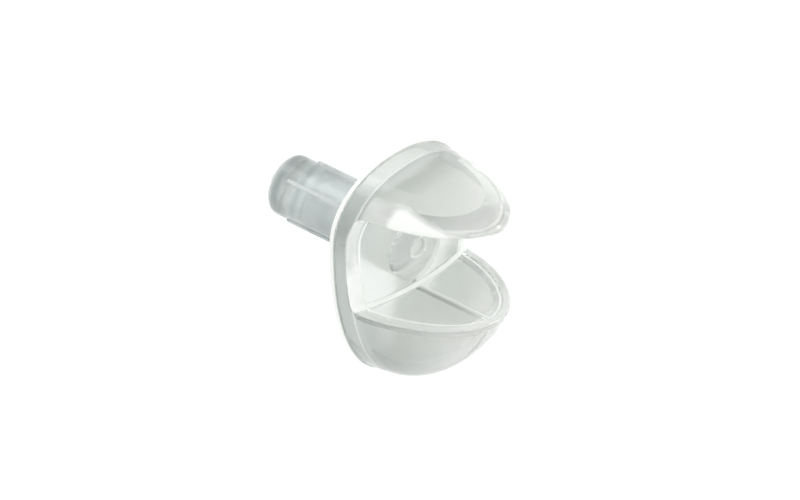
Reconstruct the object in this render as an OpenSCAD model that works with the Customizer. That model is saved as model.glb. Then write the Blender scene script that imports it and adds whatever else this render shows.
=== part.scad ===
// Shelf support pin for a glass shelf, moulded in one piece from clear plastic.
// A ribbed shank is pressed into a hole in the cabinet's side, and a rounded head with two jaws
// grips the shelf's edge. The head is cored from its back to an even wall.
// Millimetres. The origin is on the shank's axis, in the plane of the head's seating face.
// The shank runs to +Y, the head's nose to -Y, and +Z is up.

/* [Head outline] */
// Half of the head's width, at its widest
head_half_width = 7.05; // [5:0.05:10]
// Top of the head above the shank's axis
head_top = 7.46; // [6:0.02:10]
// Bottom of the head below the shank's axis
head_bottom = 11.17; // [8:0.01:14]
// Height of the widest place above the shank's axis
widest_height = 2.26; // [0:0.02:4]
// Squareness of the outline above the widest place (2 is an ellipse)
upper_power = 2.13; // [1.8:0.01:3]
// Squareness of the outline below the widest place
lower_power = 2.18; // [1.8:0.01:3]
// Thickness of the rim that seats on the cabinet
rim_thickness = 0.48; // [0.3:0.02:1]
// Step from the rim in to the head's wall
rim_step = 0.12; // [0.04:0.02:0.4]

/* [Nose] */
// Depth of the straight wall behind the rounded nose
wall_depth = 1.81; // [1:0.01:4]
// Draft of that wall, from the rim to where the nose begins
wall_draft = 0.09; // [0:0.01:0.4]
// Depth at which the two sides of the nose would close
nose_depth = 11.96; // [9:0.02:16]
// Fullness of the nose seen from above
side_fullness = 1.78; // [1.4:0.01:3]
// Fullness of the nose's upper side
upper_fullness = 2.56; // [1.4:0.01:3]
// Fullness of the nose's lower side
lower_fullness = 1.76; // [1.4:0.01:3]

/* [Shelf slot] */
// Thickness of the glass shelf
shelf_thickness = 8.0; // [4:0.5:12]
// Play between the shelf and the jaws
shelf_play = 0.06; // [0:0.01:0.4]
// Shelf seat below the shank's axis
seat_below_axis = 3.22; // [2.6:0.02:5]
// Depth of the seating face to the slot's back wall, on the middle line
back_wall_depth = 2.7; // [2:0.05:4]
// Radius of the slot's bulging back wall, seen from above
back_wall_radius = 22.5; // [10:0.5:60]
// Radius in the slot's two inner corners
corner_radius = 0.5; // [0.1:0.05:1]

/* [Coring] */
// Thickness of the head's outer wall
head_wall = 1.1; // [0.8:0.05:2]
// Thickness of the plate between the slot's back wall and the core
back_plate = 0.9; // [0.6:0.05:1.5]
// Thickness of the plate under the shelf seat
seat_plate = 0.9; // [0.6:0.05:1.5]
// Thickness of the plate under the upper jaw
upper_plate = 0.5; // [0.4:0.05:1]
// Thickness of the web that stands under the middle of the seat
web_width = 0.4; // [0.3:0.05:1.5]
// Set-back of the web from the seating face
web_setback = 0.3; // [0.1:0.1:1]
// Step from the shank out to the boss at its root
boss_step = 0.2; // [0.17:0.01:0.6]

/* [Shank] */
// Diameter of the hole in the cabinet
hole_diameter = 5.0; // [4:0.5:8]
// Play between that hole and the plain shank
shank_play = 0.15; // [0.05:0.05:0.4]
// Length of the shank from the seating face
shank_length = 10.75; // [7:0.05:14]
// Chamfer at the shank's tip
tip_chamfer = 0.35; // [0.1:0.05:0.8]
// Interference of the crush ribs with the hole, across the shank
rib_interference = 0.2; // [0.05:0.05:0.4]
// Width of each crush rib
crush_rib_width = 0.35; // [0.2:0.05:0.8]
// Plain length left at the tip
plain_tip = 1.75; // [1:0.05:4]
// Angle of the first crush rib above the horizontal
first_rib_angle = 45; // [0:5:45]
// Diameter of the gate's dimple in the slot's back wall
gate_diameter = 1.5; // [0.8:0.1:2.5]
// Depth of that dimple
gate_depth = 0.3; // [0.1:0.05:0.8]

/* [Hidden] */
outline_points = 72;
nose_rings = 22;
last_ring = 0.998;
// Shares of the nose's depth that get a ring, closer together towards its tip
nose_shares = [for (k = [0 : nose_rings]) last_ring * sin(90 * k / nose_rings)];
lap = 0.3;
crush_ribs = 4;
slot_height = shelf_thickness + shelf_play;
shank_radius = (hole_diameter - shank_play) / 2;
rib_radius = (hole_diameter + rib_interference) / 2;
slot_reach = 2 * nose_depth;

// ---- the head's outline and nose, in a frame of [side, height, depth] ----

// Height of the outline's half that angle f lies on, measured from the widest place
function half_height(f) = sin(f) > 0 ? head_top - widest_height : head_bottom + widest_height;
// Squareness of that half
function power_of(f) = sin(f) > 0 ? upper_power : lower_power;
// Fullness of the nose on that half
function fullness_of(f) = sin(f) > 0 ? upper_fullness : lower_fullness;
// Point of a unit superellipse of power k at angle f
function unit_point(f, k) =
    [cos(f), sin(f)] * pow(pow(abs(cos(f)), k) + pow(abs(sin(f)), k), -1 / k);
// How far a side of fullness q still stands out at the share t of the nose's depth
function swell(t, q) = pow(1 - pow(t, q), 1 / q);
// Depth of the nose at its share t
function depth_of(t) = wall_depth + (nose_depth - wall_depth) * t;

// One ring of points, inset from the outline and shrunk to the share t of the nose
function ring(inset, t) = [
    for (i = [0 : outline_points - 1])
        let (
            f = (i + 0.5) * 360 / outline_points,
            p = unit_point(f, power_of(f))
        )
        [
            (head_half_width - inset) * swell(t, side_fullness) * p.x,
            widest_height + (half_height(f) - inset) * swell(t, fullness_of(f)) * p.y,
        ]
];

// The outline's plate, which seats on the cabinet
module rim_plate() {
    linear_extrude(rim_thickness)
        polygon(ring(0, 0));
}

// A closed solid through rings of equally many points, at the given depths
module loft(rings, depths) {
    count = len(rings);
    points = [
        for (k = [0 : count - 1], p = rings[k]) [p.x, p.y, depths[k]]
    ];
    sides = [
        for (k = [0 : count - 2], i = [0 : outline_points - 1])
            let (
                j = (i + 1) % outline_points,
                a = k * outline_points,
                b = a + outline_points
            )
            each [[a + i, b + i, b + j], [a + i, b + j, a + j]]
    ];
    caps = [
        [for (i = [0 : outline_points - 1]) i],
        [for (i = [outline_points - 1 : -1 : 0]) (count - 1) * outline_points + i],
    ];
    polyhedron(points, concat(sides, caps), convexity = 4);
}

// The wall and the nose
module nose() {
    loft(
        [
            ring(rim_step, 0),
            ring(rim_step, 0),
            for (t = nose_shares) ring(rim_step + wall_draft, t),
        ],
        [rim_thickness - lap, rim_thickness, for (t = nose_shares) depth_of(t)]
    );
}

// The space inside an even wall, open at the seating face
module inner_nose() {
    loft(
        [
            ring(rim_step + head_wall, 0),
            for (t = nose_shares) ring(rim_step + wall_draft + head_wall, t),
        ],
        [-lap, for (t = nose_shares) depth_of(t) * (1 - head_wall / nose_depth)]
    );
}

// Turns the [side, height, depth] frame so that depth runs to -Y and height to +Z
module stand_up() {
    rotate([90, 0, 0])
        children();
}

// ---- the slot ----

// Section of the slot: open to the nose, with rounded inner corners at the back wall
module slot_section() {
    translate([back_wall_radius + corner_radius, 0])
        square([slot_reach, slot_height]);
    translate([back_wall_radius, corner_radius])
        square([slot_reach, slot_height - 2 * corner_radius]);
    for (height = [corner_radius, slot_height - corner_radius])
        translate([back_wall_radius + corner_radius, height])
            circle(corner_radius, $fn = 48);
}

// The slot, turned about an upright axis so that its back wall bulges
module slot() {
    translate([0, back_wall_radius - back_wall_depth, -seat_below_axis])
        rotate_extrude($fn = 180)
            slot_section();
}

// ---- the core ----

// What the core leaves standing round the slot: the back plate and one plate in each jaw
module slot_casing() {
    translate([0, back_wall_radius - back_wall_depth, -seat_below_axis - seat_plate])
        rotate_extrude($fn = 180)
            translate([back_wall_radius - back_plate, 0])
                square([slot_reach, seat_plate + slot_height + upper_plate]);
}

// The head's core, with the web under the seat and the boss at the shank's root left standing
module core() {
    difference() {
        stand_up()
            inner_nose();
        slot_casing();
        rotate([90, 0, 0])
            cylinder(back_wall_depth, r = shank_radius + boss_step, $fn = 96);
        translate([-web_width / 2, -slot_reach, -slot_reach])
            cube([web_width, slot_reach - web_setback, slot_reach]);
    }
}

// ---- the shank ----

module shank() {
    rotate([-90, 0, 0]) {
        translate([0, 0, -lap])
            cylinder(shank_length - tip_chamfer + lap, r = shank_radius, $fn = 96);
        translate([0, 0, shank_length - tip_chamfer])
            cylinder(tip_chamfer, r1 = shank_radius, r2 = shank_radius - tip_chamfer, $fn = 96);
    }
}

// Ribs that the hole crushes as the shank is pressed in
module crush_rib() {
    translate([0, -lap, -crush_rib_width / 2])
        cube([rib_radius, shank_length - plain_tip + lap, crush_rib_width]);
}

module shelf_support() {
    color([0.87, 0.9, 0.89, 0.45])
        difference() {
            union() {
                difference() {
                    stand_up() {
                        rim_plate();
                        nose();
                    }
                    core();
                }
                shank();
                for (k = [0 : crush_ribs - 1])
                    rotate([0, first_rib_angle + 360 * k / crush_ribs, 0])
                        crush_rib();
            }
            slot();
            translate([0, gate_depth - back_wall_depth, 0])
                rotate([90, 0, 0])
                    cylinder(gate_depth + lap, d = gate_diameter, $fn = 48);
        }
}

shelf_support();
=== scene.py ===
"""Clear moulded shelf support pin, modelled round its CAD frame.

The head is a rounded shell with a rim, a slot for a glass shelf and a core that leaves an even
wall. A ribbed shank carries it. Marks stored on its mesh say where the clear plastic is whitened:
partly by its milkiness, and mostly by painted highlights and reflections on edges, corners and
faces that catch the light. The finish also holds painted light and shade: a lighter nose, a shaded
back, a dark band by the rim and a dark ring by the shank's tip.
Lengths in the property groups are in metres, and the functions work in millimetres.
"""

import math
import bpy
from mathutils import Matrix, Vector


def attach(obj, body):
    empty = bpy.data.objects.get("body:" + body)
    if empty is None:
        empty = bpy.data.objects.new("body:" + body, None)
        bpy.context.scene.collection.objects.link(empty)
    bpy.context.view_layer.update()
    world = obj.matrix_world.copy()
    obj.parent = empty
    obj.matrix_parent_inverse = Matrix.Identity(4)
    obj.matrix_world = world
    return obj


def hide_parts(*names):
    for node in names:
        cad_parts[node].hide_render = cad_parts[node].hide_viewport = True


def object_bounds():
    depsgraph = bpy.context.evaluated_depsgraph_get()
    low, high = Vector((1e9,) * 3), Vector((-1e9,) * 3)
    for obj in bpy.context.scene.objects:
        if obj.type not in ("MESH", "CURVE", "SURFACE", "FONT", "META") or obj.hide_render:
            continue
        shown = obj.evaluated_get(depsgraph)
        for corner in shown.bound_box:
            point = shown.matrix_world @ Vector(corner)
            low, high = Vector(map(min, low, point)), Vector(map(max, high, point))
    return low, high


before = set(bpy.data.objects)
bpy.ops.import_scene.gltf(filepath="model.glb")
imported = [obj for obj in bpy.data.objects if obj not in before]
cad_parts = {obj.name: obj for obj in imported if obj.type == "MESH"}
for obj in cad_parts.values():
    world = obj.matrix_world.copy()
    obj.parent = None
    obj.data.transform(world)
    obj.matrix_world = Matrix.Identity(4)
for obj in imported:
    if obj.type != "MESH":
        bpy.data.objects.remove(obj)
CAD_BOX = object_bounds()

from types import SimpleNamespace

import bmesh
import bpy
import numpy as np
from bpy.props import (
    FloatProperty,
    FloatVectorProperty,
    IntProperty,
    PointerProperty,
)
from mathutils import Matrix, Vector

bl_info = {
    "name": "Shelf support pin",
    "version": (1, 0, 0),
    "blender": (4, 5, 0),
    "location": "View3D > Sidebar > Shelf support",
    "description": "Models a clear moulded shelf support pin and its plain studio",
    "category": "Object",
}

MM = 1000.0
PIECE = "shelf_support_moulding"
NODE = "shelf_support"
BODY = "root"
FULL_TURN = 2 * math.pi
FIRST_RIB = math.radians(45)

# Share of the nose's depth at which its sides stop short of closing
CLOSED_SHARE = 0.9999
# The same share where a slope is taken, which has to stay finite
SLOPED_SHARE = 0.9995

# In millimetres: half of the depth that the crease's step takes, the distance at which vertices
# are merged, the step over which a slope is taken, and a length that only keeps from dividing by 0
CREASE_HALF = 0.05
MERGE = 2e-4
SLOPE_STEP = 1e-4
TINY = 1e-9

# Inset and depth of the rim's rings, in millimetres: its rounded back edge, its side and its
# rounded front edge
RIM_RINGS = (
    (0.12, 0.0), (0.06, 0.012), (0.03, 0.035), (0.012, 0.065), (0, 0.11),
    (0, 0.2), (0, 0.3),
    (0, 0.38), (0.012, 0.42), (0.035, 0.455), (0.065, 0.475),
)

# Where the head's finish passes into the shank's, in millimetres along the axis
INTO_SHANK = (-0.5, 1.5)

# Places of the three lamps, in metres
LAMPS = {
    "lamp": (-0.10, -0.30, 0.32),
    "side_lamp": (0.25, -0.21, 0.23),
    "back_lamp": (-0.02, 0.23, 0.33),
}

WHITE = (1, 1, 1)


def length(name, description, default, **more):
    """A length property in metres."""
    return FloatProperty(
        name=name, description=description, default=default, min=0.0, unit="LENGTH",
        precision=5, **more
    )


def number(name, description, default, **more):
    """A plain number property."""
    return FloatProperty(name=name, description=description, default=default, min=0.0, **more)


def tint(name, description, default):
    """A colour property."""
    return FloatVectorProperty(
        name=name, description=description, default=default, subtype="COLOR", size=3, min=0.0,
        max=1.0
    )


class ShelfPinHead(bpy.types.PropertyGroup):
    """Outline and nose of the head."""

    half_width: length("Half width", "Half of the head's width at its widest", 0.00705)
    top: length("Top", "Top of the head above the shank's axis", 0.00746)
    bottom: length("Bottom", "Bottom of the head below the shank's axis", 0.01117)
    widest: length("Widest height", "Height of the widest place above the axis", 0.00226)
    upper_power: number("Upper squareness", "Outline's squareness above the widest place", 2.13)
    lower_power: number("Lower squareness", "Outline's squareness below the widest place", 2.18)
    rim: length("Rim thickness", "Thickness of the rim that seats on the cabinet", 0.00048)
    step: length("Rim step", "Step from the rim in to the wall", 0.00012)
    wall_depth: length("Wall depth", "Depth of the straight wall behind the nose", 0.00181)
    draft: length("Draft", "Draft of that wall", 0.00009)
    crease: length("Crease", "Small step where the wall meets the nose", 0.00004)
    nose: length("Nose depth", "Depth at which the nose's sides would close", 0.01196)
    side_fullness: number("Side fullness", "Fullness of the nose seen from above", 1.78)
    upper_fullness: number("Upper fullness", "Fullness of the nose's upper side", 2.56)
    lower_fullness: number("Lower fullness", "Fullness of the nose's lower side", 1.76)


class ShelfPinSlot(bpy.types.PropertyGroup):
    """Slot for the shelf."""

    height: length("Slot height", "Height of the slot for an 8 mm shelf", 0.00806)
    seat: length("Seat", "Shelf seat below the shank's axis", 0.00322)
    back_wall: length("Back wall depth", "Seating face to the slot's back wall", 0.0027)
    back_radius: length("Back wall radius", "Radius of the bulging back wall", 0.0225)
    corner: length("Corner radius", "Radius in the slot's inner corners", 0.0005)
    mouth_edge: length("Mouth edge", "Rounding of the edge round the mouth", 0.00035)


class ShelfPinCore(bpy.types.PropertyGroup):
    """Space cored out of the head."""

    wall: length("Wall", "Thickness of the head's outer wall", 0.0011)
    back_plate: length("Back plate", "Plate between the back wall and the core", 0.0009)
    seat_plate: length("Seat plate", "Plate under the shelf seat", 0.0009)
    upper_plate: length("Upper plate", "Plate under the upper jaw", 0.0005)
    web: length("Web", "Thickness of the web under the seat", 0.0004)
    web_setback: length("Web set-back", "Set-back of the web from the seating face", 0.0003)
    boss_step: length("Boss step", "Step from the shank out to its boss", 0.0002)


class ShelfPinShank(bpy.types.PropertyGroup):
    """Shank, its crush ribs and the gate's mark."""

    radius: length("Shank radius", "Radius of the plain shank", 0.002425)
    reach: length("Shank length", "Length from the seating face", 0.01075)
    tip: length("Tip chamfer", "Chamfer at the shank's tip", 0.00035)
    tip_edge: length("Tip edge", "Rounding of the chamfer's two edges", 0.00012)
    rib_radius: length("Rib radius", "Radius to the crush ribs' crests", 0.0026)
    rib_width: length("Rib width", "Width of each crush rib", 0.00035)
    rib_end: length("Plain tip", "Plain length left at the tip", 0.00175)
    ribs: IntProperty(name="Ribs", description="Number of crush ribs", default=4, min=1)
    gate: length("Gate diameter", "Diameter of the gate's dimple", 0.0015)
    gate_depth: length("Gate depth", "Depth of the gate's dimple", 0.0003)


class ShelfPinFinish(bpy.types.PropertyGroup):
    """Finish of the clear plastic."""

    # Painted light and shade: the nose's lighter tint is painted light, and the back's deeper tint
    # is partly the plastic's faint green and partly painted shade.
    nose_lit_tint: tint("Nose tint", "Tint of the clear plastic at the nose", (0.997, 1.0, 0.995))
    wall_shaded_tint: tint("Wall tint", "Deeper tint at the back of the head", (0.955, 0.980, 0.955))
    # The band's dark tint is painted shade along the outer wall by the rim.
    shade_band_tint: tint("Band tint", "Deeper tint of the outer wall by the rim", (0.30, 0.34, 0.32))
    shank_tint: tint("Shank tint", "Cool tint of the solid shank", (0.60, 0.665, 0.66))
    shank_dark: tint("Shank streaks", "Deeper tint of the shank's streaks", (0.31, 0.365, 0.36))
    # The dark ring by the shank's tip is painted shade.
    tip_ring_shade: tint("Tip ring", "Tint of the dark ring by the shank's tip", (0.26, 0.31, 0.31))
    disc_tint: tint("Disc tint", "Tint where the boss stands behind the slot", (0.70, 0.715, 0.695))
    haze_tint: tint("Haze tint", "Colour of the milky haze", (0.950, 0.968, 0.942))
    haze: number("Haze", "Share of light that the milkiness scatters", 0.125, max=1.0)
    nose_haze: number("Nose haze", "How many times milkier the nose is", 1.85)
    # Haze that whitens the painted highlights and reflections at the marked places.
    highlight_haze: number("Milky haze", "Haze added at the milky places", 0.9, max=1.0)
    # The lip's whitening is a painted highlight.
    lip: number("Lip", "How milky the shank's lip is", 0.45, max=1.0)
    disc_haze: number("Disc haze", "Haze added on the disc before the boss", 0.25, max=1.0)
    # The crease's haze and whitening paint a highlight along it.
    crease_highlight_haze: number("Crease haze", "Haze added along the crease", 0.3, max=1.0)
    crease_highlight: number("Crease tint", "Share of the tint that the crease loses", 0.7, max=1.0)
    boss_haze: number("Boss haze", "Haze and roughness added on the boss's side", 0.4, max=1.0)
    gloss: number("Roughness", "Roughness of the moulded skin", 0.1, max=1.0)
    coat: number("Coat", "Strength of the polished skin's reflection", 0.15, max=1.0)
    coat_gloss: number("Coat roughness", "Roughness of that reflection", 0.04, max=1.0)
    flow: number("Flow marks", "Strength of the flow marks", 0.12, max=1.0)
    flow_height: length("Flow height", "Height of the flow marks", 0.00008)
    core_haze: number("Core haze", "Haze added on the core's walls", 0.2, max=1.0)
    core_frost: number("Core frost", "Roughness added on the core's walls", 0.2, max=1.0)
    shank_frost: number("Shank frost", "Roughness added on the shank", 0.12, max=1.0)
    ior: number("Refractive index", "Refractive index of the plastic", 1.49)


class ShelfPinStage(bpy.types.PropertyGroup):
    """Floor, light and camera."""

    floor_drop: length("Floor drop", "Floor below the lowest point of the head", 0.03)
    floor_tint: tint("Floor tint", "Colour of the plain pale floor", (0.99, 0.99, 0.99))
    sky_top: number("Overhead light", "Brightness of the light overhead", 0.95)
    sky_side: number("Side light", "Brightness of the light at the horizon", 0.74)
    lamp: number("Lamp", "Power of the soft lamp, in watts", 0.28)
    lamp_size: length("Lamp size", "Width of the soft lamp", 0.25)
    side_lamp: number("Side lamp", "Power of the lamp at the right, in watts", 0.26)
    side_lamp_size: length("Side lamp size", "Width of the lamp at the right", 0.08)
    back_lamp: number("Back lamp", "Power of the lamp behind, in watts", 0.24)
    back_lamp_size: length("Back lamp size", "Width of the lamp behind", 0.18)
    azimuth: FloatProperty(
        name="Azimuth", description="Camera's turn about the upright axis",
        default=math.radians(47.61), subtype="ANGLE"
    )
    elevation: FloatProperty(
        name="Elevation", description="Camera's height angle", default=math.radians(32.28),
        subtype="ANGLE"
    )
    frame_width: length("Frame width", "Width that the camera sees", 0.06015)
    aim_right: FloatProperty(
        name="Aim right", description="Camera's aim, right of the origin", default=0.000597,
        unit="LENGTH", precision=6
    )
    aim_up: FloatProperty(
        name="Aim up", description="Camera's aim, above the origin", default=-0.001174,
        unit="LENGTH", precision=6
    )


# ---- sizes ----


def in_mm(group, *plain):
    """The group's lengths in millimetres, and its plain numbers as they are."""
    values = {}
    for key in group.bl_rna.properties.keys():
        if key in {"rna_type", "name"}:
            continue
        value = getattr(group, key)
        values[key] = value if key in plain else value * MM
    return SimpleNamespace(**values)


def all_sizes(scene):
    """Every size of the moulding, in millimetres."""
    powers = ("upper_power", "lower_power", "side_fullness", "upper_fullness", "lower_fullness")
    return SimpleNamespace(
        head=in_mm(scene.shelf_pin_head, *powers),
        slot=in_mm(scene.shelf_pin_slot),
        core=in_mm(scene.shelf_pin_core),
        shank=in_mm(scene.shelf_pin_shank, "ribs"),
    )


# ---- the head's surfaces, as functions of the side x, the depth d and the height z ----


def halves(upper, head):
    """Squareness, half height and fullness for the points in the head's upper half."""
    power = np.where(upper, head.upper_power, head.lower_power)
    half = np.where(upper, head.top - head.widest, head.bottom + head.widest)
    fullness = np.where(upper, head.upper_fullness, head.lower_fullness)
    return power, half, fullness


def unit_outline(angle, power):
    """Point of a unit superellipse."""
    c, s = np.cos(angle), np.sin(angle)
    reach = (np.abs(c) ** power + np.abs(s) ** power) ** (-1 / power)
    return c * reach, s * reach


def swell(share, fullness):
    """How far a side still stands out at a share of the nose's depth."""
    return (1 - share ** fullness) ** (1 / fullness)


def wall_inset(d, head):
    """Inset of the outer wall from the rim's outline, with the crease where the nose begins."""
    drafted = np.clip((d - head.rim) / (head.wall_depth - head.rim), 0, 1)
    stepped = np.clip((d - head.wall_depth) / CREASE_HALF / 2 + 0.5, 0, 1)
    return head.step + head.draft * drafted + head.crease * stepped


def wall_point(angle, d, head, inward=0.0):
    """Side and height of the outer wall, or of a wall set inward from it."""
    power, half, fullness = halves(np.sin(angle) > 0, head)
    share = np.clip((d - head.wall_depth) / (head.nose - inward - head.wall_depth), 0, CLOSED_SHARE)
    inset = wall_inset(d, head) + inward
    ux, uz = unit_outline(angle, power)
    x = (head.half_width - inset) * swell(share, head.side_fullness) * ux
    z = head.widest + (half - inset) * swell(share, fullness) * uz
    return x, z


def wall_level(x, d, z, head):
    """A level that is 0 on the outer wall and positive outside it."""
    power, half, fullness = halves(z > head.widest, head)
    share = np.clip((d - head.wall_depth) / (head.nose - head.wall_depth), 0, SLOPED_SHARE)
    inset = wall_inset(d, head)
    a = (head.half_width - inset) * swell(share, head.side_fullness)
    b = (half - inset) * swell(share, fullness)
    return (np.abs(x) / a) ** power + (np.abs(z - head.widest) / b) ** power - 1


def gradient(level, x, d, z, step):
    """Slope of a level along x, d and z."""
    return (
        (level(x + step, d, z) - level(x - step, d, z)) / (2 * step),
        (level(x, d + step, z) - level(x, d - step, z)) / (2 * step),
        (level(x, d, z + step) - level(x, d, z - step)) / (2 * step),
    )


def outside_wall(x, d, z, head):
    """Distance outside the outer wall, negative inside."""

    def level(px, pd, pz):
        return wall_level(px, pd, pz, head)

    gx, gd, gz = gradient(level, x, d, z, SLOPE_STEP)
    return level(x, d, z) / (np.sqrt(gx ** 2 + gd ** 2 + gz ** 2) + TINY)


def slot_sides(x, d, z, slot):
    """Distances past the slot's back wall, and past the nearer of its two jaws."""
    past_wall = np.hypot(x, d + slot.back_radius - slot.back_wall) - slot.back_radius
    past_jaw = np.minimum(z + slot.seat, slot.height - slot.seat - z)
    return past_wall, past_jaw


def inside_slot(x, d, z, slot):
    """Distance inside the slot, negative in the plastic."""
    past_wall, past_jaw = slot_sides(x, d, z, slot)
    in_corner = (past_wall < slot.corner) & (past_jaw < slot.corner)
    rounded = slot.corner - np.hypot(slot.corner - past_wall, slot.corner - past_jaw)
    return np.where(in_corner, rounded, np.minimum(past_wall, past_jaw))


def skin(x, d, z, size):
    """Distance outside the plastic, with the mouth's edge rounded."""
    radius = size.slot.mouth_edge
    a = outside_wall(x, d, z, size.head)
    b = inside_slot(x, d, z, size.slot)
    u, v = np.maximum(radius + a, 0), np.maximum(radius + b, 0)
    return np.where((u > 0) & (v > 0), np.hypot(u, v) - radius, np.maximum(a, b))


def round_mouth(points, size, passes=6, longest=0.15, within=(0.6, 1.5, 0.02)):
    """Moves the points near the mouth on to the rounded skin: those within a level of the outer
    wall and a distance of the slot, and past a distance from the rim."""
    head, slot = size.head, size.slot
    flat = points.reshape(-1, 3).copy()
    x, d, z = flat.T
    wall_reach, slot_reach, past_rim = within
    near = np.abs(wall_level(x, d, z, head)) < wall_reach
    near &= inside_slot(x, d, z, slot) > -slot_reach
    near &= d > head.rim + past_rim
    moved = flat[near]

    def level(px, pd, pz):
        return skin(px, pd, pz, size)

    for _ in range(passes):
        x, d, z = moved.T
        slope = np.stack(gradient(level, x, d, z, 2 * SLOPE_STEP), 1)
        move = -(level(x, d, z) / ((slope ** 2).sum(1) + TINY))[:, None] * slope
        far = np.linalg.norm(move, axis=1)
        moved = moved + move * np.minimum(1, longest / np.maximum(far, TINY))[:, None]
    flat[near] = moved
    return flat.reshape(points.shape)


def mouth_depth(angle, size, marches=400, halvings=40):
    """Depth at which the outer wall meets the slot, for each angle."""
    head = size.head
    deepest = head.wall_depth + (head.nose - head.wall_depth) * CLOSED_SHARE

    def in_slot(d):
        x, z = wall_point(angle, d, head)
        return inside_slot(x, d, z, size.slot) > 0

    depths = np.linspace(head.rim, deepest, marches)
    met = np.array([in_slot(np.full_like(angle, d)) for d in depths])
    first = np.argmax(met, axis=0)
    low, high = depths[np.maximum(first - 1, 0)], depths[first]
    for _ in range(halvings):
        middle = (low + high) / 2
        inside = in_slot(middle)
        high = np.where(inside, middle, high)
        low = np.where(inside, low, middle)
    return (low + high) / 2


# ---- mesh helpers ----


def lay_patch(bm, points, closed=False):
    """A grid of faces whose vertices are moved to the given points."""
    if closed:
        points = np.concatenate([points, points[:1]])
    across, along = points.shape[0] - 1, points.shape[1] - 1
    made = bmesh.ops.create_grid(bm, x_segments=across, y_segments=along, size=1.0)
    for vert in made["verts"]:
        i = round((vert.co.x + 1) / 2 * across)
        j = round((vert.co.y + 1) / 2 * along)
        x, d, z = points[i, j]
        vert.co = (x, -d, z)
    return made["verts"]


def close_holes(bm, tips=(), within=1.0):
    """Fills each open loop with a fan, whose hub moves to a tip that lies near it."""
    loops = [edge for edge in bm.edges if edge.is_boundary]
    caps = bmesh.ops.holes_fill(bm, edges=loops, sides=0)["faces"]
    hubs = bmesh.ops.poke(bm, faces=caps)["verts"]
    for hub in hubs:
        for tip in tips:
            if abs(hub.co.y - tip[1]) < within:
                hub.co = tip


def finish_mesh(bm, name):
    """Merges doubles, turns the faces outwards and returns a linked object."""
    bmesh.ops.remove_doubles(bm, verts=bm.verts, dist=MERGE)
    bmesh.ops.dissolve_degenerate(bm, edges=bm.edges, dist=MERGE / 20)
    bmesh.ops.recalc_face_normals(bm, faces=bm.faces)
    if any(not edge.is_manifold for edge in bm.edges):
        raise RuntimeError(f"{name} is not closed")
    mesh = bpy.data.meshes.new(name)
    bm.to_mesh(mesh)
    bm.free()
    made = bpy.data.objects.new(name, mesh)
    bpy.context.scene.collection.objects.link(made)
    return made


def combine(base, tool, operation):
    """Applies a Boolean to the base and removes the tool."""
    modifier = base.modifiers.new("combine", "BOOLEAN")
    modifier.operation = operation
    modifier.solver = "EXACT"
    modifier.object = tool
    bpy.context.view_layer.update()
    graph = bpy.context.evaluated_depsgraph_get()
    mesh = bpy.data.meshes.new_from_object(base.evaluated_get(graph))
    base.modifiers.remove(modifier)
    spent = [base.data, tool.data]
    base.data = mesh
    bpy.data.objects.remove(tool)
    for old in spent:
        bpy.data.meshes.remove(old)
    return base


def box(name, low, high):
    """A box between two corners."""
    bm = bmesh.new()
    bmesh.ops.create_cube(bm, size=1.0)
    low, high = Vector(low), Vector(high)
    bmesh.ops.scale(bm, vec=high - low, verts=bm.verts)
    bmesh.ops.translate(bm, vec=(low + high) / 2, verts=bm.verts)
    return finish_mesh(bm, name)


def turned(name, profile, steps, centre=(0, 0, 0), axis=(0, 1, 0), sweep=FULL_TURN):
    """A solid turned from a closed or axis-to-axis profile of points."""
    bm = bmesh.new()
    verts = [bm.verts.new(point) for point in profile]
    full = sweep == FULL_TURN
    if full:
        geom = [bm.edges.new(pair) for pair in zip(verts[:-1], verts[1:])]
    else:
        geom = [bm.faces.new(verts)]
        geom += geom[0].edges[:]
    bmesh.ops.spin(
        bm, geom=verts + geom, cent=centre, axis=axis, angle=sweep, steps=steps, use_merge=full
    )
    return finish_mesh(bm, name)


# ---- the head ----


def mouth_angles(size, count=240, turn_share=0.6, even_share=0.4, smoothing=7):
    """Angles down one side of the mouth, closer together where it turns."""
    angle = np.radians(-90 + 180 * np.linspace(0, 1, count + 1))
    d = mouth_depth(angle, size)
    x, z = wall_point(angle, d, size.head)
    step = np.diff(np.stack([x, d, z], -1), axis=0)
    span = np.linalg.norm(step, axis=1)
    along = step / np.maximum(span[:, None], TINY)
    turn = np.arccos(np.clip((along[1:] * along[:-1]).sum(1), -1, 1))
    turn = np.r_[0, turn, 0]
    turning = (turn[:-1] + turn[1:]) / 2 / turn.sum()
    weight = span / span.sum() + turn_share * turning + even_share / count
    side = smoothing // 2
    padded = np.r_[weight[:side][::-1], weight, weight[-side:][::-1]]
    weight = np.convolve(padded, np.ones(smoothing) / smoothing, "valid")
    placed = np.r_[0, np.cumsum(weight)]
    return np.interp(np.linspace(0, 1, count + 1), placed / placed[-1], angle)


def rim_patch(angle, head):
    """Rings round the rim, from its back edge over its side to its front."""
    rings = [*RIM_RINGS, (head.step, head.rim)]
    power, half, _ = halves(np.sin(angle) > 0, head)
    ux, uz = unit_outline(angle, power)
    columns = []
    for inset, d in rings:
        x, z = (head.half_width - inset) * ux, head.widest + (half - inset) * uz
        columns.append(np.stack([x, np.full_like(angle, d), z], -1))
    return np.stack(columns, 1)


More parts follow.
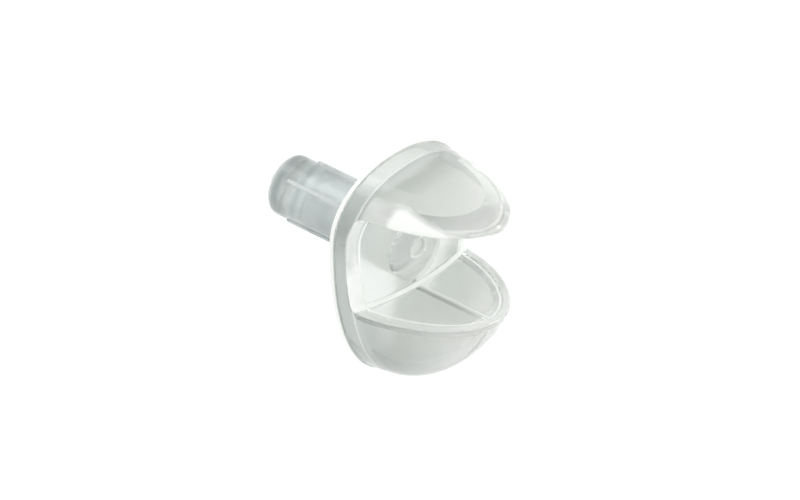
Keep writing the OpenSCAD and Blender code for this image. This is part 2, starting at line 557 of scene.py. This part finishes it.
def wall_patch(
    angle, depth, size, wall_rows=9, crease_rows=3, nose_rows=40, crowding=1.8, latest=0.85
):
    """Outer wall from the rim to the mouth, one column for each angle. Its rows crowd at the mouth,
    and a few follow the crease, which moves towards the rim where the mouth comes close."""
    head = size.head
    rim, mouth = np.full_like(depth, head.rim), depth
    crease = np.minimum(head.wall_depth, rim + (mouth - rim) * latest)
    half = np.minimum(CREASE_HALF, (mouth - crease) / 3)
    start, end = crease - half, crease + half
    towards_mouth = 1 - (1 - np.linspace(0, 1, nose_rows)) ** crowding
    d = np.concatenate(
        [
            np.linspace(rim, start, wall_rows, axis=1),
            np.linspace(start, end, crease_rows + 2, axis=1)[:, 1:-1],
            end[:, None] + (mouth - end)[:, None] * towards_mouth,
        ],
        axis=1,
    )
    rows = d.shape[1]
    x, z = wall_point(np.repeat(angle[:, None], rows, 1), d, size.head)
    points = np.stack([x, d, z], -1)
    points[:, 1:] = round_mouth(points, size)[:, 1:]
    return points


def slot_patch(angle, depth, size, edge_columns=22, middle_columns=11, crowding=1.6):
    """Slot's surface, as lines across it between the mouth's two sides. Its columns crowd at the
    mouth, and the lines on the jaws turn from the back wall's bulge to the mouth's curve."""
    slot = size.slot
    half, height = wall_point(angle, depth, size.head)
    near = 1 - 0.5 * np.linspace(0, 1, edge_columns) ** crowding
    share = np.r_[near, np.linspace(near[-1], 0, middle_columns + 1)[1:]]
    share = np.r_[share, -share[:-1][::-1]]
    x = half[:, None] * share[None, :]
    d0, z = depth[:, None], np.repeat(height[:, None], len(share), 1)
    to_axis = slot.back_radius - slot.back_wall
    past_wall = np.hypot(half, depth + to_axis)[:, None] - slot.back_radius
    bulging = np.sqrt(np.maximum((slot.back_radius + past_wall) ** 2 - x ** 2, 0)) - to_axis
    over_seat = height + slot.seat
    flat = np.minimum(abs(over_seat), abs(over_seat - slot.height)) < 5 * MERGE
    turn_over = 3.0
    follow = np.clip(1 - (past_wall - slot.corner) / turn_over, 0, 1)
    follow = np.where(flat[:, None] & (past_wall > slot.corner), follow, 1.0)
    d = d0 + (bulging - d0) * follow
    points = np.stack([x, d, z], -1)
    keep = edge_columns - 2
    rounded = round_mouth(points, size)
    points[:, :keep], points[:, -keep:] = rounded[:, :keep], rounded[:, -keep:]
    return points


def model_head(size, name):
    """The solid head with its rim, slot and rounded mouth."""
    side = mouth_angles(size)
    depth = mouth_depth(side, size)
    angle = np.r_[side, np.pi - side[1:-1][::-1]]
    rim = rim_patch(angle, size.head)
    wall = wall_patch(angle, np.r_[depth, depth[1:-1][::-1]], size)
    slot = slot_patch(side, depth, size)
    count = len(side)
    slot[:, 0] = wall[:count, -1]
    slot[0, -1], slot[-1, -1] = wall[0, -1], wall[count - 1, -1]
    slot[1:-1, -1] = wall[count:, -1][::-1]
    bm = bmesh.new()
    lay_patch(bm, rim, closed=True)
    lay_patch(bm, wall, closed=True)
    lay_patch(bm, slot)
    bmesh.ops.remove_doubles(bm, verts=bm.verts, dist=MERGE)
    close_holes(bm)
    return finish_mesh(bm, name)


def slot_casing(size, sweep=math.radians(80), steps=120):
    """What the core leaves round the slot: the back plate and a plate in each jaw."""
    slot, core = size.slot, size.core
    inner = slot.back_radius - core.back_plate
    outer = slot.back_radius + 2 * size.head.nose
    low = -slot.seat - core.seat_plate
    high = slot.height - slot.seat + core.upper_plate
    centre_y = slot.back_radius - slot.back_wall
    start = Matrix.Rotation(-sweep / 2, 3, "Z")
    corners = [(inner, low), (outer, low), (outer, high), (inner, high)]
    profile = [
        start @ Vector((0, -reach, 0)) + Vector((0, centre_y, height)) for reach, height in corners
    ]
    return turned("casing", profile, steps, (0, centre_y, 0), (0, 0, 1), sweep)


def model_core(size, behind=1.0, columns=240, straight_rings=4, nose_rings=68):
    """The space inside the even wall, less the casing and the web. It starts behind the seating
    face, and the shank fills the boss's place in it."""
    head, core = size.head, size.core
    angle = np.linspace(0, FULL_TURN, columns + 1)[:-1]
    tip = head.nose - core.wall
    shares = np.sin(np.linspace(0, math.pi / 2, nose_rings + 2))[1:-1]
    first_ring = 0.4
    straight = np.linspace(first_ring, head.wall_depth, straight_rings)
    depths = np.r_[-behind, straight, head.wall_depth + (tip - head.wall_depth) * shares]
    rings = []
    for d in depths:
        x, z = wall_point(angle, np.full_like(angle, d), head, core.wall)
        rings.append(np.stack([x, np.full_like(angle, d), z], -1))
    bm = bmesh.new()
    lay_patch(bm, np.stack(rings, 1), closed=True)
    bmesh.ops.remove_doubles(bm, verts=bm.verts, dist=MERGE)
    close_holes(bm, tips=[(0, -tip, head.widest)])
    space = finish_mesh(bm, "core")
    combine(space, slot_casing(size), "DIFFERENCE")
    far = 3 * head.nose
    in_boss = -2.0
    web = box("web", (-core.web / 2, -far, -far), (core.web / 2, -core.web_setback, in_boss))
    return combine(space, web, "DIFFERENCE")


def eased(before, corner, after, radius, count=5):
    """Points that round a corner between its two neighbours."""
    before, corner, after = Vector(before), Vector(corner), Vector(after)
    start = corner + (before - corner).normalized() * radius
    end = corner + (after - corner).normalized() * radius
    return [
        tuple(start.lerp(corner, t).lerp(corner.lerp(end, t), t)) for t in np.linspace(0, 1, count)
    ]


def model_rib(shank, k, lap=0.2, crest_edge=0.08):
    """One crush rib, from inside the head to the plain tip, with rounded edges on its crest."""
    bm = bmesh.new()
    bmesh.ops.create_cube(bm, size=1.0)
    span = shank.reach - shank.rib_end
    extent = (shank.rib_radius, span + lap, shank.rib_width)
    bmesh.ops.scale(bm, vec=extent, verts=bm.verts)
    bmesh.ops.translate(bm, vec=(shank.rib_radius / 2, (span - lap) / 2, 0), verts=bm.verts)
    crest = [e for e in bm.edges if all(v.co.x > shank.radius for v in e.verts)]
    bmesh.ops.bevel(
        bm, geom=crest, offset=crest_edge, segments=3, profile=0.5, affect="EDGES", material=-1
    )
    turn_y = Matrix.Rotation(-FIRST_RIB - FULL_TURN * k / shank.ribs, 3, "Y")
    bmesh.ops.rotate(bm, cent=(0, 0, 0), matrix=turn_y, verts=bm.verts)
    return finish_mesh(bm, "rib")


def model_shank(size, name, rows=20, steps=128):
    """The turned shank with its boss and crush ribs."""
    shank, core = size.shank, size.core
    root = -size.slot.back_wall + core.back_plate / 2
    end = shank.reach - shank.tip
    face = shank.radius - shank.tip
    boss = shank.radius + core.boss_step
    profile = [(0, root), (boss, root), (boss, 0)]
    profile += [(shank.radius, y) for y in np.linspace(0, end - 2 * shank.tip_edge, rows)]
    profile += eased((shank.radius, 0), (shank.radius, end), (face, shank.reach), shank.tip_edge)
    profile += eased((shank.radius, end), (face, shank.reach), (0, shank.reach), shank.tip_edge)
    profile.append((0, shank.reach))
    made = turned(name, [(r, y, 0) for r, y in profile], steps)
    for k in range(shank.ribs):
        combine(made, model_rib(shank, k), "UNION")
    return made


def model_gate(size, flare=0.06):
    """The gate's dimple, a shallow cone that opens into the slot."""
    shank = size.shank
    radius = shank.gate / 2
    bm = bmesh.new()
    bmesh.ops.create_cone(
        bm, cap_ends=True, cap_tris=False, segments=64, radius1=radius + flare,
        radius2=radius - flare, depth=2 * shank.gate_depth
    )
    turn_x = Matrix.Rotation(-math.pi / 2, 3, "X")
    bmesh.ops.rotate(bm, cent=(0, 0, 0), matrix=turn_x, verts=bm.verts)
    bmesh.ops.translate(bm, vec=(0, -size.slot.back_wall, 0), verts=bm.verts)
    return finish_mesh(bm, "gate")


# ---- marks on the mesh, which steer the finish ----


def ramp(value, start, end):
    """From 0 at the start to 1 at the end, and level past them. The start may be the larger."""
    return np.clip((value - start) / (end - start), 0, 1)


def near_zero(value, width):
    """1 where a distance is 0, falling to 0 at a width."""
    return np.clip(1 - np.abs(value) / width, 0, 1)


def places(items, field):
    """The side x, the depth d and the height z of a mesh's faces or vertices."""
    values = np.empty(len(items) * 3)
    items.foreach_get(field, values)
    x, y, z = values.reshape(-1, 3).T
    return x, -y, z


def core_walls(x, d, z, size, below_skin=0.45, below_slot=0.3, past_face=0.02):
    """Which places are on the core's frosted walls: under the skin, clear of the slot and past the
    seating face."""
    under = outside_wall(x, d, z, size.head) < -below_skin
    clear = inside_slot(x, d, z, size.slot) < -below_slot
    return under & clear & (d > past_face)


def corner_highlights(out, past_wall, past_jaw, middle=0.15, full=0.09, half=0.24, under_skin=0.2):
    """Painted highlight in the slot's inner corners, where its plates meet."""
    away = np.abs(np.hypot(past_wall, past_jaw) - middle)
    return ramp(away, half, full) * (out < -under_skin)


def jaw_reflection(out, d, z, slot, skin=0.3):
    """Painted reflection of the bright surround on the outer wall by the upper jaw's edge: faint by
    the rim, and lower towards the nose.
    """
    above_jaw = z - (slot.height - slot.seat)
    by_rim, by_nose, fade = 1.56, 0.66, 0.4
    top = by_rim + (by_nose - by_rim) * ramp(d, 5.2, 8.6)
    jaw = near_zero(out, skin) * ramp(above_jaw, -0.64, -0.14) * ramp(above_jaw, top, top - fade)
    past_rim, short_of_tip = ramp(d, 1.9, 2.2), ramp(d, 10.0, 8.4)
    strength = 0.4 + 0.6 * ramp(d, 4.2, 4.6)
    return jaw * past_rim * short_of_tip * strength


def web_highlight(x, z, out, size, under_skin=0.5, into_plate=0.05):
    """Painted highlight along the web under the seat's plate."""
    slot, core = size.slot, size.core
    under_plate = z < into_plate - slot.seat - core.seat_plate
    return ramp(np.abs(x), core.web, core.web / 2) * under_plate * (out < -under_skin)


def milky_gate(x, d, z, into, gate, share=0.5, past_edge=0.1, deepest=4):
    """The gate's dimple."""
    in_dimple = (np.hypot(x, z) < gate / 2 + past_edge) & (d < deepest)
    return near_zero(into, 0.5) * in_dimple * share


def shank_highlights(x, d, z, shank, crest_share=0.3, tip_share=0.7, lap=0.1):
    """Painted highlights on the crests of the shank's ribs and on its chamfered tip."""
    turn = np.hypot(x, z)
    in_shank = d < -0.01
    crest = ramp(turn, shank.radius, shank.rib_radius) * in_shank * crest_share
    chamfer = shank.reach - shank.tip
    by_edge = turn > shank.radius - 0.6
    return np.maximum(crest, ramp(-d, chamfer - lap, chamfer) * by_edge * tip_share)


def mark_walls(made, size, farthest=3.0):
    """Stores on the faces which are the core's frosted walls. Stores on the vertices how much the
    plastic is whitened, by its milkiness and by painted highlights and reflections, and their
    distances outside the outer wall, inside the slot and past the slot's back wall, in millimetres."""
    mesh = made.data
    core_wall = core_walls(*places(mesh.polygons, "center"), size)
    x, d, z = places(mesh.vertices, "co")
    out, into = outside_wall(x, d, z, size.head), inside_slot(x, d, z, size.slot)
    past_wall, past_jaw = slot_sides(x, d, z, size.slot)
    # Whitening at the marked places: mostly painted highlights and reflections, with some milkiness
    # of the plastic.
    milky = np.maximum.reduce([
        corner_highlights(out, past_wall, past_jaw),
        jaw_reflection(out, d, z, size.slot),
        web_highlight(x, z, out, size),
        milky_gate(x, d, z, into, size.shank.gate),
        shank_highlights(x, d, z, size.shank),
    ])
    gaps = {"wall_gap": out, "slot_gap": into, "back_gap": past_wall}
    marks = [("core_wall", "FACE", core_wall), ("milky", "POINT", milky)]
    marks += [(name, "POINT", gap.clip(-farthest, farthest)) for name, gap in gaps.items()]
    for name, domain, values in marks:
        mark = mesh.attributes.new(name, "FLOAT", domain)
        mark.data.foreach_set("value", values.astype(np.float32))


def smooth_faces(made, angle=28):
    """Smooth shading, with edges sharper than the angle kept sharp."""
    mesh = made.data
    mesh.polygons.foreach_set("use_smooth", np.ones(len(mesh.polygons), dtype=bool))
    mesh.set_sharp_from_angle(angle=math.radians(angle))


# ---- the finish ----


class NodeKit:
    """Adds the nodes of a material or a world in few words."""

    def __init__(self, owner):
        owner.use_nodes = True
        self.nodes, self.join = owner.node_tree.nodes, owner.node_tree.links.new
        self.nodes.clear()

    def put(self, value, socket):
        """Joins an output to a socket, or sets the socket to a number or a colour."""
        if isinstance(value, bpy.types.NodeSocket):
            self.join(value, socket)
        elif isinstance(value, (int, float)):
            socket.default_value = value
        else:
            socket.default_value = (*value, 1)

    def add(self, kind, inputs=(), **settings):
        """A node with its settings made and its inputs joined or set."""
        made = self.nodes.new("ShaderNode" + kind)
        for key, value in settings.items():
            setattr(made, key, value)
        for key, value in dict(inputs).items():
            self.put(value, made.inputs[key])
        return made

    def math(self, operation, first, *others):
        """One operation on the first value and each of the others in turn."""
        for second in others:
            first = self.add("Math", {0: first, 1: second}, operation=operation).outputs[0]
        return first

    def times(self, *values):
        """Product of the values."""
        return self.math("MULTIPLY", *values)

    def plus(self, *values):
        """Sum of the values."""
        return self.math("ADD", *values)

    def most(self, *values):
        """Largest of the values."""
        return self.math("MAXIMUM", *values)

    def rest(self, share):
        """What a share leaves of the whole."""
        return self.math("SUBTRACT", 1, share)

    def ramp(self, value, start, end, low=0, high=1, smooth=False):
        """From low at the start to high at the end, and level past them."""
        ends = {"From Min": start, "From Max": end, "To Min": low, "To Max": high}
        kind = "SMOOTHSTEP" if smooth else "LINEAR"
        made = self.add("MapRange", {"Value": value, **ends}, interpolation_type=kind)
        return made.outputs["Result"]

    def line(self, value, centre, half, soft=0.5):
        """A line of the given half width round the value's centre, of which a share is soft."""
        away = self.math("ABSOLUTE", self.math("SUBTRACT", value, centre), 0)
        return self.ramp(away, half, half * (1 - soft))

    def blend(self, share, first, second):
        """A colour between two colours."""
        colours = {"Factor": share, "A": first, "B": second}
        return self.add("Mix", colours, data_type="RGBA").outputs["Result"]

    def mix(self, share, first, second):
        """A shader between two shaders' nodes."""
        return self.add("MixShader", {0: share, 1: first.outputs[0], 2: second.outputs[0]})


class PlasticKit(NodeKit):
    """Nodes of the pin's plastic, which reads places and the mesh's marks in millimetres."""

    def __init__(self, owner):
        super().__init__(owner)
        place = self.add("TexCoord").outputs["Object"]
        scaled = self.add("VectorMath", {0: place, "Scale": MM}, operation="SCALE")
        self.place = scaled.outputs["Vector"]
        axes = self.add("SeparateXYZ", {0: self.place}).outputs
        self.side, self.along, self.height = axes["X"], axes["Y"], axes["Z"]
        flat = self.add("CombineXYZ", {"X": self.side, "Z": self.height}).outputs[0]
        self.radius = self.add("VectorMath", {0: flat}, operation="LENGTH").outputs["Value"]
        self.core_wall = self.mark("core_wall")
        self.wall_gap, self.slot_gap = self.mark("wall_gap"), self.mark("slot_gap")
        self.on_slot = self.line(self.slot_gap, 0, 0.25)
        clear_of_slot = self.ramp(self.slot_gap, -0.05, -0.12)
        self.on_wall = self.times(self.line(self.wall_gap, 0, 0.35), clear_of_slot)
        self.in_shank = self.ramp(self.along, *INTO_SHANK)

    def mark(self, name):
        """One of the mesh's marks."""
        return self.add("Attribute", attribute_name=name).outputs["Fac"]

    def noise(self, grains, detail):
        """Noise of so many grains a millimetre, round 0.5."""
        inputs = {"Vector": self.place, "Scale": grains, "Detail": detail}
        return self.add("TexNoise", inputs).outputs["Fac"]

    def mottled(self, grains, detail, low, high, contrast=0.4, smooth=False):
        """Noise that is spread from low to high. The less the contrast, the sharper its spots."""
        start, end = (1 - contrast) / 2, (1 + contrast) / 2
        return self.ramp(self.noise(grains, detail), start, end, low, high, smooth)


def rim_highlight(kit, rim):
    """Painted highlight on the rim's outer side, and more faintly on its seating face."""
    outside = kit.rest(kit.core_wall)
    from_wall = kit.ramp(kit.along, 0.02 - rim, 0.1 - rim)
    to_shank = kit.ramp(kit.along, 0.02, 0)
    seating_face = kit.ramp(kit.along, -0.04, -0.01, 1, 0.4)
    return kit.times(outside, from_wall, to_shank, seating_face)


def highlight_lines(kit, size):
    """Painted highlights along the mouth's edge, and along the lines that the core's walls draw
    behind the slot's surface.
    """
    wall, seat = size.core.wall, -size.slot.seat
    edge = kit.times(kit.line(kit.wall_gap, 0, 0.2), kit.line(kit.slot_gap, 0, 0.08))
    inner_wall = kit.times(kit.line(kit.wall_gap, -wall - 0.02, 0.15), kit.on_slot)
    jamb = kit.times(
        kit.line(kit.mark("back_gap"), 0, 0.3),
        kit.on_slot,
        kit.line(kit.wall_gap, -wall / 2 - 0.01, wall / 2 - 0.01, 0.1),
        kit.ramp(kit.height, -0.2, 1.2, 1, 0.5),
    )
    ledge = kit.times(
        kit.on_slot,
        kit.line(kit.wall_gap, -0.4 * wall, 0.4 * wall, 0.3),
        kit.ramp(kit.along, -8.5, -3.0, 0.25, 0.6),
    )
    web = kit.times(
        kit.line(kit.side, 0, size.core.web / 2 - 0.04),
        kit.ramp(kit.height, seat + 0.22, seat + 0.12),
        kit.ramp(kit.wall_gap, -wall, -wall - 0.1),
        kit.on_slot,
        0.6,
    )
    return edge, inner_wall, jamb, ledge, web


def hazed_and_highlit_share(kit, finish, size):
    """How much each place is whitened, by milkiness and by painted highlights: the places marked on
    the mesh, the rim, the lines in the head and the shank's lip."""
    chamfer = size.shank.reach - size.shank.tip
    # Painted highlight on the shank's lip by the chamfer.
    lip = kit.ramp(kit.along, chamfer - 0.3, chamfer, 0, finish.lip)
    rim = rim_highlight(kit, size.head.rim)
    return kit.most(kit.mark("milky"), rim, *highlight_lines(kit, size), lip)


def disc_share(kit, size):
    """The disc in the slot's back wall, where the boss stands behind it."""
    back, boss = size.slot.back_wall, size.shank.radius + size.core.boss_step
    in_disc = kit.ramp(kit.radius, boss + 0.075, boss + 0.035)
    past_back = kit.ramp(kit.along, -back - 0.7, -back - 0.5)
    return kit.times(in_disc, past_back, kit.ramp(kit.along, -0.5, -1.0))


def shade_band_share(kit):
    """Painted shade: a dark band on the outer wall by the rim, which reaches farther to the nose
    below than above, and which painted light makes lighter on top of the head."""
    upper = kit.ramp(kit.height, 0, 3.0)
    above = kit.times(upper, kit.ramp(kit.along, -5.5, -2.0))
    below = kit.times(kit.rest(upper), kit.ramp(kit.along, -8.5, -3.5))
    top = kit.times(kit.ramp(kit.height, 3.5, 6.8), kit.ramp(kit.along, -2.0, -1.7))
    past_rim = kit.ramp(kit.along, -0.4, -0.5)
    return kit.times(kit.plus(above, below), past_rim, kit.rest(kit.times(top, 0.65)), kit.on_wall)


def crease_highlight_share(kit, depth):
    """Painted highlight: the light line along the crease between the straight wall and the nose."""
    return kit.times(
        kit.on_wall,
        kit.ramp(kit.along, -depth - 0.15, -depth - 0.03),
        kit.ramp(kit.along, -depth + 0.15, -depth + 0.05),
    )


def shank_colour(kit, finish, size):
    """The shank's cool tint and streaks, with a dark ring of painted shade by its tip."""
    streaks = kit.mottled(0.33, 3, 0, 1, contrast=0.2)
    colour = kit.blend(streaks, finish.shank_dark, finish.shank_tint)
    # Painted shade: a dark ring by the tip's chamfer.
    ring = kit.line(kit.along, size.shank.reach - 0.95, 0.45, 0.8)
    return kit.blend(ring, colour, finish.tip_ring_shade)


def clear_plastic(finish, size):
    """Clear plastic with a hazy milkiness, flow marks and a frosted core. Its colour also holds
    painted light and shade: a lighter nose, a shaded back, a dark band by the rim, a dark ring by
    the tip, and white painted highlights and reflections.
    """
    material = bpy.data.materials.new("clear_plastic")
    kit = PlasticKit(material)
    milky, disc = hazed_and_highlit_share(kit, finish, size), disc_share(kit, size)
    crease = crease_highlight_share(kit, size.head.wall_depth)
    boss = size.shank.radius + size.core.boss_step
    boss_side = kit.times(kit.core_wall, kit.line(kit.radius, boss, 0.08))

    # Painted light and shade: lighter towards the nose, deeper towards the back.
    colour = kit.blend(kit.ramp(kit.along, -10, -1), finish.nose_lit_tint, finish.wall_shaded_tint)
    into_shank = kit.ramp(kit.along, *INTO_SHANK, smooth=True)
    colour = kit.blend(into_shank, colour, shank_colour(kit, finish, size))
    # Painted shade: the dark band on the outer wall by the rim, lighter on top.
    colour = kit.blend(shade_band_share(kit), colour, finish.shade_band_tint)
    # Painted highlight along the crease.
    colour = kit.blend(kit.times(crease, finish.crease_highlight), colour, WHITE)
    colour = kit.blend(disc, colour, finish.disc_tint)
    # Painted highlights and reflections: whitened at the marked places.
    colour = kit.blend(milky, colour, WHITE)

    roughness = kit.plus(
        kit.mottled(0.42, 3, finish.gloss * 0.85, finish.gloss * 1.25),
        kit.times(kit.core_wall, finish.core_frost),
        kit.times(kit.in_shank, finish.shank_frost),
        kit.times(boss_side, finish.boss_haze),
    )
    flow = kit.add("Bump", {
        "Strength": finish.flow,
        "Distance": finish.flow_height,
        "Height": kit.noise(0.7, 4),
    })
    plastic = kit.add("BsdfPrincipled", {
        "Base Color": colour,
        "Roughness": roughness,
        "Normal": flow.outputs["Normal"],
        "Transmission Weight": 1.0,
        "IOR": finish.ior,
        "Coat Weight": finish.coat,
        "Coat Roughness": finish.coat_gloss,
    })

    lit = kit.add("BsdfDiffuse", {"Color": finish.haze_tint})
    through = kit.add("BsdfTranslucent", {"Color": finish.haze_tint})
    milk = kit.mix(kit.ramp(milky, 0, 1, 0.35, 0.08), lit, through)
    skin_haze = kit.times(
        kit.mottled(0.26, 2, finish.haze * 0.94, finish.haze * 1.06, smooth=True),
        kit.ramp(kit.along, *INTO_SHANK, 1, 0.35),
        kit.ramp(kit.along, -9.5, -3.0, finish.nose_haze, 1),
    )
    haze = kit.plus(
        skin_haze,
        # Haze along the crease, part of its painted highlight.
        kit.times(disc, finish.disc_haze),
        kit.times(crease, finish.crease_highlight_haze),
        kit.times(boss_side, finish.boss_haze),
        kit.times(kit.core_wall, finish.core_haze),
        # Haze at the marked places whitens their painted highlights and reflections.
        kit.times(milky, finish.highlight_haze),
    )
    kit.add("OutputMaterial", {"Surface": kit.mix(haze, plastic, milk).outputs[0]})
    return material


# ---- operators ----


class SHELFPIN_OT_moulding(bpy.types.Operator):
    """Model the pin's one-piece moulding and give it its finish"""

    bl_idname = "shelfpin.moulding"
    bl_label = "Model the moulding"

    def execute(self, context):
        scene = context.scene
        size = all_sizes(scene)
        made = model_head(size, PIECE)
        combine(made, model_core(size), "DIFFERENCE")
        combine(made, model_shank(size, "shank"), "UNION")
        combine(made, model_gate(size), "DIFFERENCE")
        mark_walls(made, size)
        made.data.name = PIECE
        made.data.transform(Matrix.Scale(1 / MM, 4))
        smooth_faces(made)
        made.data.materials.clear()
        made.data.materials.append(clear_plastic(scene.shelf_pin_finish, size))
        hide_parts(NODE)
        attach(made, BODY)
        return {"FINISHED"}


class SHELFPIN_OT_stage(bpy.types.Operator):
    """Set up the floor, the soft light and the camera"""

    bl_idname = "shelfpin.stage"
    bl_label = "Set up the stage"

    def execute(self, context):
        scene, stage = context.scene, context.scene.shelf_pin_stage
        scene.view_settings.view_transform = "Standard"
        self.lay_floor(scene, stage)
        self.light_world(scene, stage)
        for name, place in LAMPS.items():
            power, width = getattr(stage, name), getattr(stage, name + "_size")
            self.hang_lamp(scene, name, power, width, place)
        self.place_camera(scene, stage)
        return {"FINISHED"}

    def lay_floor(self, scene, stage, half_width=4.0):
        """A plain pale floor under the part."""
        bm = bmesh.new()
        bmesh.ops.create_grid(bm, x_segments=1, y_segments=1, size=half_width)
        low = CAD_BOX[0][2] - stage.floor_drop
        bmesh.ops.translate(bm, vec=(0, 0, low), verts=bm.verts)
        mesh = bpy.data.meshes.new("floor")
        bm.to_mesh(mesh)
        bm.free()
        floor = bpy.data.objects.new("floor", mesh)
        scene.collection.objects.link(floor)
        material = bpy.data.materials.new("pale_floor")
        kit = NodeKit(material)
        matt = kit.add("BsdfDiffuse", {"Color": stage.floor_tint})
        kit.add("OutputMaterial", {"Surface": matt.outputs[0]})
        mesh.materials.append(material)

    def light_world(self, scene, stage, horizon=0.1, overhead=0.9):
        """A soft white surround, brighter overhead, which is seen as plain white."""
        scene.world = bpy.data.worlds.new("soft_white")
        kit = NodeKit(scene.world)
        place = kit.add("TexCoord").outputs["Generated"]
        height = kit.add("SeparateXYZ", {0: place}).outputs["Z"]
        light = kit.ramp(height, horizon, overhead, stage.sky_side, stage.sky_top, smooth=True)
        soft = kit.add("Background", {"Color": WHITE, "Strength": light})
        white = kit.add("Background", {"Color": WHITE})
        rays = kit.add("LightPath").outputs
        seen = kit.most(rays["Is Camera Ray"], rays["Is Glossy Ray"], rays["Is Transmission Ray"])
        kit.add("OutputWorld", {"Surface": kit.mix(seen, soft, white).outputs[0]})

    def hang_lamp(self, scene, name, power, width, place):
        """A soft square lamp that faces the part."""
        data = bpy.data.lights.new(name, "AREA")
        data.energy = power
        data.size = width
        lamp = bpy.data.objects.new(name, data)
        scene.collection.objects.link(lamp)
        turn = Vector(place).to_track_quat("Z", "Y").to_matrix().to_4x4()
        lamp.matrix_world = Matrix.Translation(place) @ turn

    def place_camera(self, scene, stage, distance=0.2, nearest=0.001):
        """An orthographic camera before the nose, on its left and above."""
        turn, tilt = stage.azimuth, stage.elevation
        right = Vector((math.cos(turn), -math.sin(turn), 0))
        back = Vector((
            -math.cos(tilt) * math.sin(turn), -math.cos(tilt) * math.cos(turn), math.sin(tilt)
        ))
        up = back.cross(right)
        data = bpy.data.cameras.new("camera")
        data.type = "ORTHO"
        data.ortho_scale = stage.frame_width
        data.clip_start = nearest
        camera = bpy.data.objects.new("camera", data)
        scene.collection.objects.link(camera)
        place = right * stage.aim_right + up * stage.aim_up + back * distance
        axes = Matrix((right, up, back)).transposed().to_4x4()
        camera.matrix_world = Matrix.Translation(place) @ axes
        scene.camera = camera


class SHELFPIN_PT_panel(bpy.types.Panel):
    """Panel of the shelf support pin"""

    bl_idname = "SHELFPIN_PT_panel"
    bl_label = "Shelf support pin"
    bl_space_type = "VIEW_3D"
    bl_region_type = "UI"
    bl_category = "Shelf support"

    def draw(self, context):
        layout = self.layout
        for group in GROUPS:
            column = layout.column(align=True)
            column.label(text=group.__doc__)
            settings = getattr(context.scene, GROUPS[group])
            for key in settings.bl_rna.properties.keys():
                if key not in {"rna_type", "name"}:
                    column.prop(settings, key)
        for operator in OPERATORS:
            layout.operator(operator.bl_idname)


GROUPS = {
    ShelfPinHead: "shelf_pin_head",
    ShelfPinSlot: "shelf_pin_slot",
    ShelfPinCore: "shelf_pin_core",
    ShelfPinShank: "shelf_pin_shank",
    ShelfPinFinish: "shelf_pin_finish",
    ShelfPinStage: "shelf_pin_stage",
}
OPERATORS = (SHELFPIN_OT_moulding, SHELFPIN_OT_stage)


def register():
    """Register the groups, the operators and the panel."""
    for group, name in GROUPS.items():
        bpy.utils.register_class(group)
        setattr(bpy.types.Scene, name, PointerProperty(type=group))
    for operator in OPERATORS:
        bpy.utils.register_class(operator)
    bpy.utils.register_class(SHELFPIN_PT_panel)


def unregister():
    """Remove what register added."""
    bpy.utils.unregister_class(SHELFPIN_PT_panel)
    for operator in reversed(OPERATORS):
        bpy.utils.unregister_class(operator)
    for group, name in reversed(GROUPS.items()):
        delattr(bpy.types.Scene, name)
        bpy.utils.unregister_class(group)


def main():
    """Model the pin and its stage."""
    register()
    bpy.ops.shelfpin.moulding()
    bpy.ops.shelfpin.stage()


if __name__ == "__main__":
    main()
